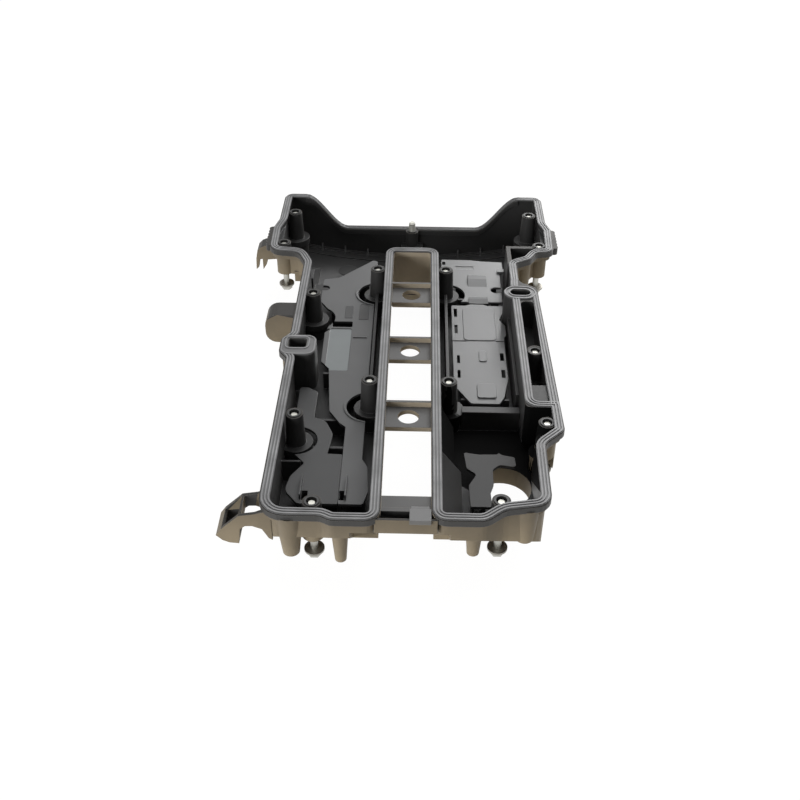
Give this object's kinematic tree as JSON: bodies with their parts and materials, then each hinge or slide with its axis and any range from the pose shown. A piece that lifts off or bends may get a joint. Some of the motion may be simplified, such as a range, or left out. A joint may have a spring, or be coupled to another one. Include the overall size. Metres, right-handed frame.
{
  "type": "engine cylinder head cover",
  "caption": "Moulded plastic camshaft cover for an in-line four-cylinder engine, gasket side up, with captive bolts, oil separator plates, filler neck and breather valve.",
  "frame": {"origin": "gasket plane, on the spark plug line at the centre of the middle crossbar hole", "axes": "+Z out of the gasket face, +Y along the engine towards the timing chain end, +X to the right of the cover as it lies gasket side up"},
  "size_m": [0.2629, 0.4281, 0.066],
  "materials": {
    "cover_plastic": "moulded black glass-filled nylon, oil-dark inside, dusty taupe outside",
    "gasket_rubber": "moulded grey silicone with three sealing ridges",
    "plate_plastic": "moulded grey nylon",
    "sleeve_steel": "turned steel sleeves",
    "retainer_rubber": "black rubber rings",
    "cap_plastic": "moulded black nylon",
    "diaphragm_rubber": "black moulded rubber",
    "spring_steel": "drawn spring wire",
    "bolt_zinc": "zinc-plated steel"
  },
  "bodies": {
    "cover": {"cover_shell": "cover_plastic", "head_gasket": "gasket_rubber", "left_separator_plate": "plate_plastic", "left_drain_plate": "plate_plastic", "right_far_plate": "plate_plastic", "right_separator_plate": "plate_plastic", "filler_splash_guard": "plate_plastic", "slot_clip": "plate_plastic", "bolt_sleeves": "sleeve_steel", "bolt_retainers": "retainer_rubber", "breather_cap": "cap_plastic", "breather_spring": "spring_steel"},
    "diaphragm": {"breather_diaphragm": "diaphragm_rubber"},
    "bolt_1": {"bolt_1": "bolt_zinc"},
    "bolt_2": {"bolt_2": "bolt_zinc"},
    "bolt_3": {"bolt_3": "bolt_zinc"},
    "bolt_4": {"bolt_4": "bolt_zinc"},
    "bolt_5": {"bolt_5": "bolt_zinc"},
    "bolt_6": {"bolt_6": "bolt_zinc"},
    "bolt_7": {"bolt_7": "bolt_zinc"},
    "bolt_8": {"bolt_8": "bolt_zinc"},
    "bolt_9": {"bolt_9": "bolt_zinc"},
    "bolt_10": {"bolt_10": "bolt_zinc"},
    "bolt_11": {"bolt_11": "bolt_zinc"},
    "bolt_12": {"bolt_12": "bolt_zinc"},
    "bolt_13": {"bolt_13": "bolt_zinc"},
    "bolt_14": {"bolt_14": "bolt_zinc"},
    "bolt_15": {"bolt_15": "bolt_zinc"}
  },
  "joints": [
    {"name": "bolt_1_slide", "type": "slide", "parent": "cover", "child": "bolt_1", "axis": [0, 0, 1], "range_m": [0, 0.0119]},
    {"name": "bolt_2_slide", "type": "slide", "parent": "cover", "child": "bolt_2", "axis": [0, 0, 1], "range_m": [0, 0.0119]},
    {"name": "bolt_3_slide", "type": "slide", "parent": "cover", "child": "bolt_3", "axis": [0, 0, 1], "range_m": [0, 0.0119]},
    {"name": "bolt_4_slide", "type": "slide", "parent": "cover", "child": "bolt_4", "axis": [0, 0, 1], "range_m": [0, 0.0119]},
    {"name": "bolt_5_slide", "type": "slide", "parent": "cover", "child": "bolt_5", "axis": [0, 0, 1], "range_m": [0, 0.0119]},
    {"name": "bolt_6_slide", "type": "slide", "parent": "cover", "child": "bolt_6", "axis": [0, 0, 1], "range_m": [0, 0.0119]},
    {"name": "bolt_7_slide", "type": "slide", "parent": "cover", "child": "bolt_7", "axis": [0, 0, 1], "range_m": [0, 0.0119]},
    {"name": "bolt_8_slide", "type": "slide", "parent": "cover", "child": "bolt_8", "axis": [0, 0, 1], "range_m": [0, 0.0119]},
    {"name": "bolt_9_slide", "type": "slide", "parent": "cover", "child": "bolt_9", "axis": [0, 0, 1], "range_m": [0, 0.0119]},
    {"name": "bolt_10_slide", "type": "slide", "parent": "cover", "child": "bolt_10", "axis": [0, 0, 1], "range_m": [0, 0.0119]},
    {"name": "bolt_11_slide", "type": "slide", "parent": "cover", "child": "bolt_11", "axis": [0, 0, 1], "range_m": [0, 0.0119]},
    {"name": "bolt_12_slide", "type": "slide", "parent": "cover", "child": "bolt_12", "axis": [0, 0, 1], "range_m": [0, 0.0119]},
    {"name": "bolt_13_slide", "type": "slide", "parent": "cover", "child": "bolt_13", "axis": [0, 0, 1], "range_m": [0, 0.0119]},
    {"name": "bolt_14_slide", "type": "slide", "parent": "cover", "child": "bolt_14", "axis": [0, 0, 1], "range_m": [0, 0.0119]},
    {"name": "bolt_15_slide", "type": "slide", "parent": "cover", "child": "bolt_15", "axis": [0, 0, 1], "range_m": [0, 0.0074]},
    {"name": "diaphragm_slide", "type": "slide", "parent": "cover", "child": "diaphragm", "axis": [0, 0, 1], "range_m": [0, 0.0012], "stiffness_N_per_m": 60, "deforming": ["breather_spring"]}
  ]
}
